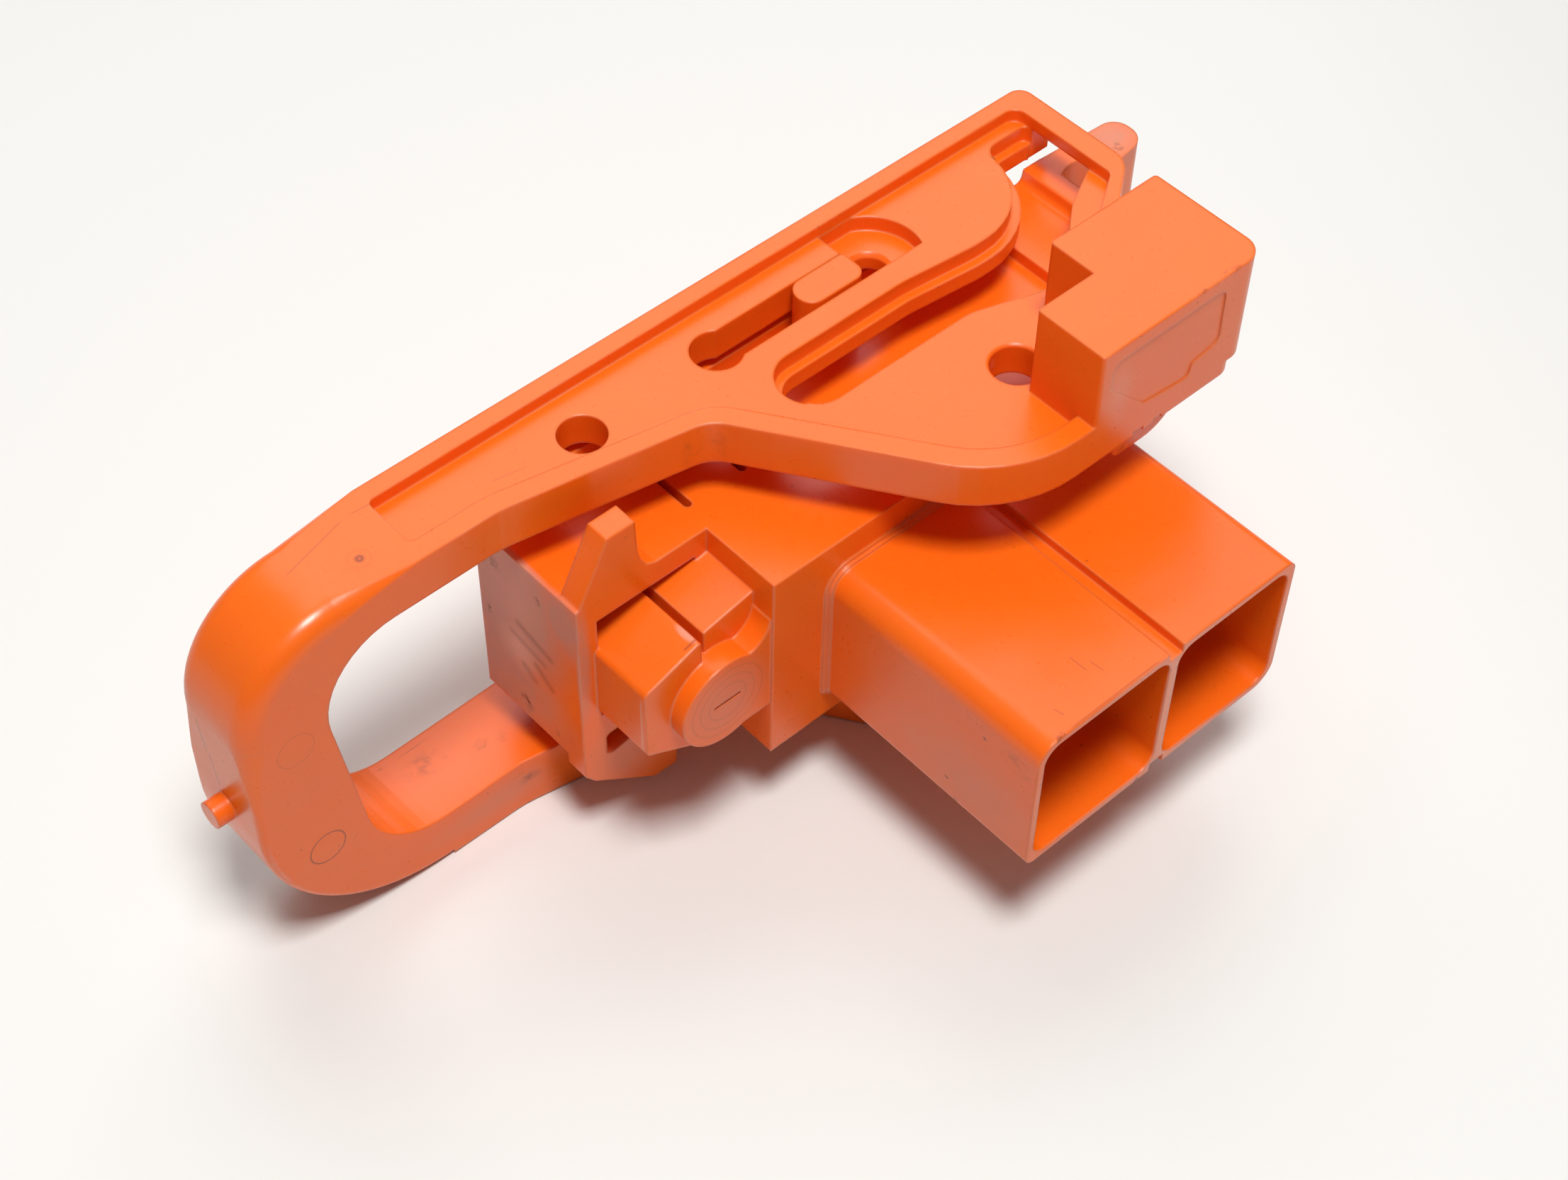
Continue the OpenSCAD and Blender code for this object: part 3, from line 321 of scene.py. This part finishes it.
housing_lines = [
    ((11.3, -23.6, 35.6), (19.8, -23.6, 33.5), 1.0, 0.4),
    ((9.8, -23.6, 32.6), (18.2, -23.6, 31.0), 0.9, 0.3),
    ((15, -23.6, 29.9), (19.4, -23.6, 26.7), 1.1, 0.4),
    ((12.2, -23.6, 27.6), (15.6, -23.6, 25.2), 1.2, 0.3),
    ((68.4, 22.0, 43.1), (71.5, 22.1, 43.1), 0.12, 0.7),
    ((70.6, 23.5, 43.1), (73.0, 23.7, 43.1), 0.12, 0.6),
    ((72.9, 14.5, 43.1), (74.5, 14.8, 43.1), 0.15, 0.6),
    ((76.5, 13, 43.1), (76.5, 31, 43.1), 0.25, 0.45),
    ((67.2, 8.3, 37.1), (67.8, 8.3, 36.7), 0.35, 0.9),
    ((61.4, 8.3, 22.9), (62.1, 8.3, 22.6), 0.3, 0.9),
    ((63.2, 8.3, 19.8), (64.1, 8.3, 19.5), 0.3, 0.8),
    ((72.2, 33.7, 43.1), (72.9, 33.9, 43.1), 0.3, 0.9),
    ((34.2, -11.4, 42.4), (34.2, -13.6, 41.7), 0.3, 0.6),
]
# Moulding flash round the low step, drawn as pale lines: a real thin fin, with a painted highlight along it
housing_flash_and_highlight = [
    ((34.2, -20.9, 38), (34.2, -20.9, 26.5), 0.35, 0.7),
    ((34.2, -20.6, 26.4), (34.2, -13.0, 22.2), 0.35, 0.7),
]
lever_dust = [
    ((8, -34, 8), (9, 18, 4), 0.8, 0.25),
    ((14.7, -30, 5), (1, 16, 4), 0.8, 0.35),
]
# Painted highlight: a pale pinkish patch on the connector block's +X face
lever_highlight = [
    ((53.9, 43, 66), (1, 3.5, 7), 0.9, 0.3),
]
# Dark patches: smudges of dirt, and one patch of painted shade
lever_dirt_and_shade = [
    ((11, -20, 8.6), (3, 3.5, 2), 0.9, 0.9),
    ((5, -36, 8.4), (3, 5, 2), 0.9, 0.5),
    ((9, -28, 8.4), (2.5, 4, 2), 0.9, 0.6),
    ((14.7, -25.5, 5.6), (1, 2.2, 1.6), 0.8, 0.7),
    ((4, -30, 62), (0.6, 0.9, 0.8), 0.4, 1.5),
    ((20, 2, 58), (6, 4, 4), 0.9, 0.5),
    ((53.6, 62, 74.5), (0.8, 3, 0.8), 0.7, 1.2),
    ((53.6, 57, 74.5), (0.6, 1.4, 0.6), 0.6, 1.0),
    # Painted shade: a dark patch in the gap under the plate, below the connector block
    ((51, 48.5, 50), (3, 2.5, 1.5), 0.8, 1.0),
]
lever_rings = [
    ((9.6, -44.2, 62), 0.35, 0.5, 0.8),
    ((9.6, -44.2, 62), 1.5, 0.16, 0.25),
    ((14.7, -58.4, 19.5), 2.75, 0.2, 0.8),
    ((14.7, -60.2, 42.1), 2.75, 0.12, 0.3),
]
lever_lines = [
    ((6.5, -54.5, 62), (3.0, -41.5, 62), 0.15, 0.5),
    ((3.0, -41.5, 62), (3.7, -30.0, 62), 0.15, 0.5),
    ((8.7, -23.4, 60), (9.7, -18.0, 60), 0.12, 0.5),
    ((4.0, -67.4, 45), (5.0, -67.4, 38.5), 0.25, 0.7),
    ((5.4, -67.4, 39), (6.5, -67.4, 32.5), 0.25, 0.7),
    ((10.5, -67.2, 28.5), (9.9, -65.5, 22), 0.3, 0.7),
    ((1.5, -50, 8.0), (1.5, -17, 7.4), 0.12, 0.6),
    ((53.9, 50.8, 67.0), (53.9, 51.9, 68.0), 0.15, 0.7),
    # Painted shade: a dark dash along the plate's lower edge, where the gap below it is in shade
    ((53.9, 47.2, 55.4), (53.9, 49.0, 55.2), 0.4, 0.8),
]

dress(moulded_orange("moulded_orange_housing", housing_dust, housing_pale_and_highlight, housing_dirt, housing_rings,
                     housing_lines, housing_flash_and_highlight), "housing", "rear_cover")
dress(moulded_orange("moulded_orange_lever", lever_dust, lever_highlight, lever_dirt_and_shade, lever_rings,
                     lever_lines, []), "lever")
# EPDM rubber, moulded: dark grey and dull
dress(matt("seal_rubber", "2C2D2F", "3A3B3D", 0.7, 2, 0.05), "cover_seal")
# Steel, rolled and zinc-plated: pale, cool grey, slightly clouded
dress(metal("zinc_steel", "B9BDC2", "CBCED1", 0.34),
      "cover_screw_a", "cover_screw_b", "cover_screw_c", "cover_screw_d",
      "foot_bolt_a", "foot_bolt_b", "spring_washer_a", "spring_washer_b")
# Steatite ceramic, fired: off-white, half dull
dress(matt("fuse_ceramic", "E6DFCE", "F0EADC", 0.5, 3, 0.03), "fuse_body")
# Quartz sand, packed: pale tan grains of 0.5 mm
dress(matt("quartz_sand", "BFB192", "E4DAC4", 0.85, 0.5, 0.2), "fuse_filler")
# Silver strip, punched: white and bright
dress(metal("silver_strip", "D2D2CE", "E6E6E2", 0.25), "fuse_element")
# Brass, drawn: warm yellow, satin
dress(metal("cap_brass", "B8935A", "CBA86A", 0.32), "fuse_cap_a", "fuse_cap_b")
# Copper, stamped and left bare: reddish, satin
dress(metal("bare_copper", "C4734E", "D68A62", 0.33), "fuse_foot_a", "fuse_foot_b", "blade_a", "blade_b")
# Brass, turned for the threaded inserts: a darker yellow
dress(metal("insert_brass", "AF8A48", "C9A45C", 0.36), "nut_insert_a", "nut_insert_b")
# PBT, injection-moulded: nearly black, dull
dress(matt("dark_plastic", "26272A", "303134", 0.5, 1.5, 0.03), "interlock_holder")
# Brass, bent from strip: yellow, fairly bright
dress(metal("bridge_brass", "C2A25E", "D3B673", 0.3), "interlock_bridge")
